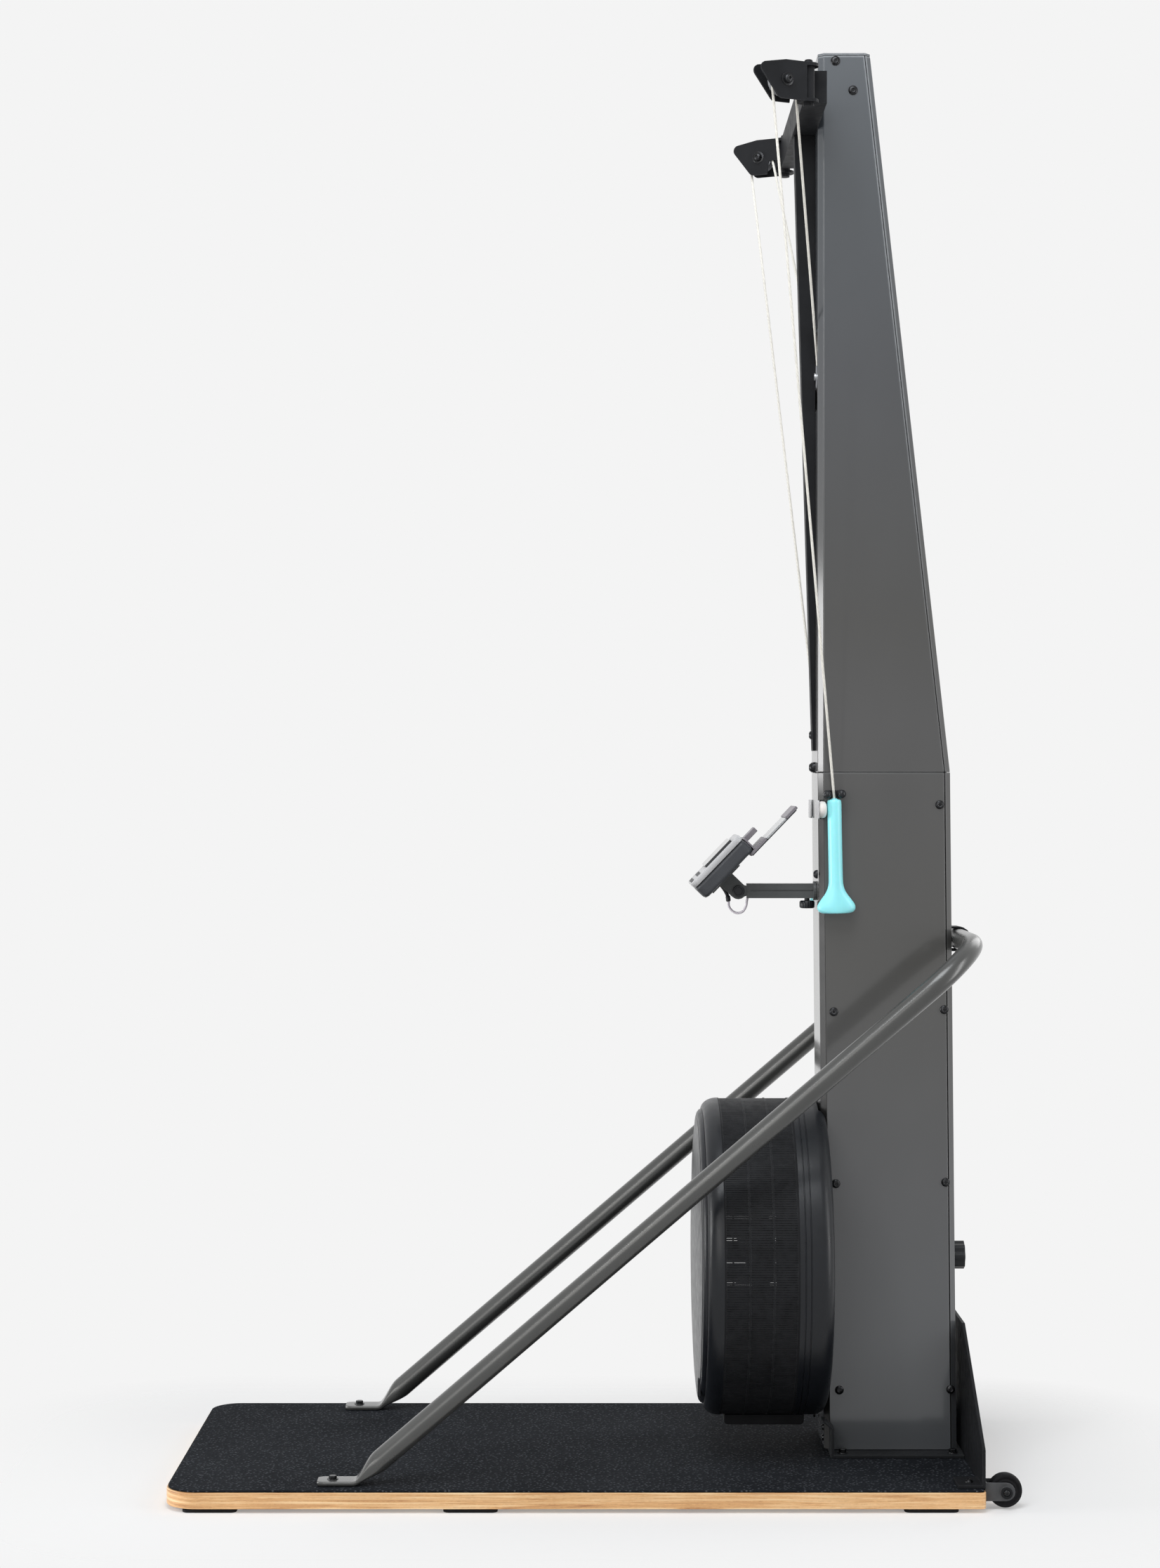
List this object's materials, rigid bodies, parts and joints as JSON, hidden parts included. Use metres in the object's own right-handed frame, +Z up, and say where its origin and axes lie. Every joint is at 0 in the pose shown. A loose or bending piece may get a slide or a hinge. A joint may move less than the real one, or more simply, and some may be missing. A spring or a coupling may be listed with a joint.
{
  "type": "ski ergometer",
  "caption": "Free-standing ski ergometer: plywood floor stand, tapering sheet-metal tower, air flywheel in a drum, swivelling cord pulleys, hanging handles and a tilting monitor.",
  "frame": {"origin": "on the floor under the feet, in the middle of the overall length and width", "axes": "+Z up along the tower; +X from the user along the board towards the tower; +Y across the board, to the left of someone who looks along +X"},
  "size_m": [1.264, 0.6, 2.198],
  "materials": {
    "plywood": "clear satin lacquer over birch plywood",
    "mat": "fine textured non-slip mat",
    "rubber": "matt moulded rubber",
    "wheel": "hard black rubber tyre",
    "gun_metal": "gun-metal grey powder coat with a slight sheen",
    "black_paint": "satin black powder coat",
    "steel": "zinc-plated steel",
    "black_plastic": "fine-grained black plastic",
    "grey_plastic": "silver-grey plastic",
    "handle": "light cyan grip, softly glossy",
    "cord": "off-white braided cord",
    "screen": "dark glossy display window",
    "clear_plastic": "translucent grey plastic",
    "cable": "pale grey cable sheath"
  },
  "bodies": {
    "frame": {"base_board": "plywood", "deck_mat": "mat", "foot_rail_left": "rubber", "foot_rail_right": "rubber", "wheel_bracket_left": "black_paint", "wheel_bracket_right": "black_paint", "base_tray": "black_paint", "rear_gusset_plate": "black_paint", "tower_lower_channel": "gun_metal", "tower_lower_rear_cover": "gun_metal", "tower_upper_channel": "gun_metal", "tower_upper_rear_cover": "gun_metal", "tower_top_cap": "gun_metal", "tower_joint_plate": "steel", "tower_spine": "black_paint", "crossbar": "black_paint", "guide_cross_plate": "steel", "shaft_bearing_front": "steel", "shaft_bearing_rear": "steel", "shaft_plate": "steel", "drum_front_cover": "black_plastic", "drum_front_shell": "black_plastic", "drum_mesh_band": "black_paint", "drum_rear_shell": "black_plastic", "drum_back_plate": "steel", "drum_foot": "black_paint", "brace_tube": "gun_metal", "brace_saddle": "black_paint", "handle_hook_left": "black_plastic", "handle_hook_right": "black_plastic", "monitor_arm": "black_paint", "monitor_cable": "cable", "inner_cord_left": "cord", "outer_cord_left": "cord", "inner_cord_right": "cord", "outer_cord_right": "cord"},
    "flywheel": {"flywheel_shaft": "steel", "fan_wheel": "steel"},
    "damper": {"damper_knob": "black_plastic"},
    "clamp_knob": {"arm_clamp_knob": "black_plastic"},
    "monitor": {"monitor_body": "black_plastic", "monitor_bezel": "grey_plastic", "monitor_screen": "screen", "monitor_mount": "black_paint", "monitor_tilt_pin": "black_paint", "device_holder": "clear_plastic"},
    "spool_left": {"cord_spool_left": "black_plastic"},
    "wheel_left": {"transport_wheel_left": "wheel"},
    "arm_left": {"pulley_housing_left": "black_paint", "swivel_pin_left": "black_paint"},
    "pulley_left": {"arm_pulley_left": "grey_plastic"},
    "guide_left": {"guide_pulley_left": "grey_plastic"},
    "handle_left": {"handle_left": "handle"},
    "spool_right": {"cord_spool_right": "black_plastic"},
    "wheel_right": {"transport_wheel_right": "wheel"},
    "arm_right": {"pulley_housing_right": "black_paint", "swivel_pin_right": "black_paint"},
    "pulley_right": {"arm_pulley_right": "grey_plastic"},
    "guide_right": {"guide_pulley_right": "grey_plastic"},
    "handle_right": {"handle_right": "handle"}
  },
  "joints": [
    {"name": "flywheel_spin", "type": "hinge", "parent": "frame", "child": "flywheel", "pos_m": [0.262, 0, 0.33], "axis": [1, 0, 0], "continuous": true},
    {"name": "damper_turn", "type": "hinge", "parent": "frame", "child": "damper", "pos_m": [0.56, 0, 0.33], "axis": [1, 0, 0], "range_deg": [0, 270]},
    {"name": "clamp_knob_turn", "type": "hinge", "parent": "frame", "child": "clamp_knob", "pos_m": [0.33547, 0, 0.88], "axis": [0, 0, 1], "range_deg": [0, 720]},
    {"name": "monitor_tilt", "type": "hinge", "parent": "frame", "child": "monitor", "pos_m": [0.22697, 0, 0.9007], "axis": [0, 1, 0], "range_deg": [-45, 8], "deforming": ["monitor_cable"]},
    {"name": "wheel_spin_left", "type": "hinge", "parent": "frame", "child": "wheel_left", "pos_m": [0.6065, -0.265, 0.0265], "axis": [0, 1, 0], "continuous": true},
    {"name": "arm_swivel_left", "type": "hinge", "parent": "frame", "child": "arm_left", "pos_m": [0.3182, -0.248, 2.106], "axis": [0, 0, 1], "range_deg": [-35, 35], "deforming": ["outer_cord_left", "inner_cord_left"]},
    {"name": "arm_pulley_spin_left", "type": "hinge", "parent": "arm_left", "child": "pulley_left", "pos_m": [0.27983, -0.26557, 2.106], "axis": [0.4163, -0.9092, 0], "continuous": true},
    {"name": "guide_pulley_spin_left", "type": "hinge", "parent": "frame", "child": "guide_left", "pos_m": [0.352, -0.024, 1.703], "axis": [1, 0, 0], "continuous": true},
    {"name": "spool_spin_left", "type": "hinge", "parent": "frame", "child": "spool_left", "pos_m": [0.392, 0, 0.33], "axis": [-1, 0, 0], "continuous": true},
    {"name": "handle_pull_left", "type": "slide", "parent": "frame", "child": "handle_left", "axis": [-0.6217, -0.2507, -0.742], "range_m": [0, 0.7], "stiffness_N_per_m": 25, "springref_m": -0.4, "deforming": ["outer_cord_left"]},
    {"name": "wheel_spin_right", "type": "hinge", "parent": "frame", "child": "wheel_right", "pos_m": [0.6065, 0.265, 0.0265], "axis": [0, 1, 0], "continuous": true},
    {"name": "arm_swivel_right", "type": "hinge", "parent": "frame", "child": "arm_right", "pos_m": [0.3182, 0.248, 2.106], "axis": [0, 0, 1], "range_deg": [-35, 35], "deforming": ["outer_cord_right", "inner_cord_right"]},
    {"name": "arm_pulley_spin_right", "type": "hinge", "parent": "arm_right", "child": "pulley_right", "pos_m": [0.27983, 0.26557, 2.106], "axis": [-0.4163, -0.9092, 0], "continuous": true},
    {"name": "guide_pulley_spin_right", "type": "hinge", "parent": "frame", "child": "guide_right", "pos_m": [0.352, 0.024, 1.703], "axis": [-1, 0, 0], "continuous": true},
    {"name": "spool_spin_right", "type": "hinge", "parent": "frame", "child": "spool_right", "pos_m": [0.43, 0, 0.33], "axis": [1, 0, 0], "continuous": true},
    {"name": "handle_pull_right", "type": "slide", "parent": "frame", "child": "handle_right", "axis": [-0.6217, 0.2507, -0.742], "range_m": [0, 0.7], "stiffness_N_per_m": 25, "springref_m": -0.4, "deforming": ["outer_cord_right"]}
  ],
  "couplings": [
    {"joint": "arm_pulley_spin_left", "follows": "handle_pull_left", "rad_per_m": 51.02},
    {"joint": "guide_pulley_spin_left", "follows": "handle_pull_left", "rad_per_m": 61.35},
    {"joint": "spool_spin_left", "follows": "handle_pull_left", "rad_per_m": 37.594},
    {"joint": "arm_pulley_spin_right", "follows": "handle_pull_right", "rad_per_m": 51.02},
    {"joint": "guide_pulley_spin_right", "follows": "handle_pull_right", "rad_per_m": 61.35},
    {"joint": "spool_spin_right", "follows": "handle_pull_right", "rad_per_m": 37.594}
  ]
}
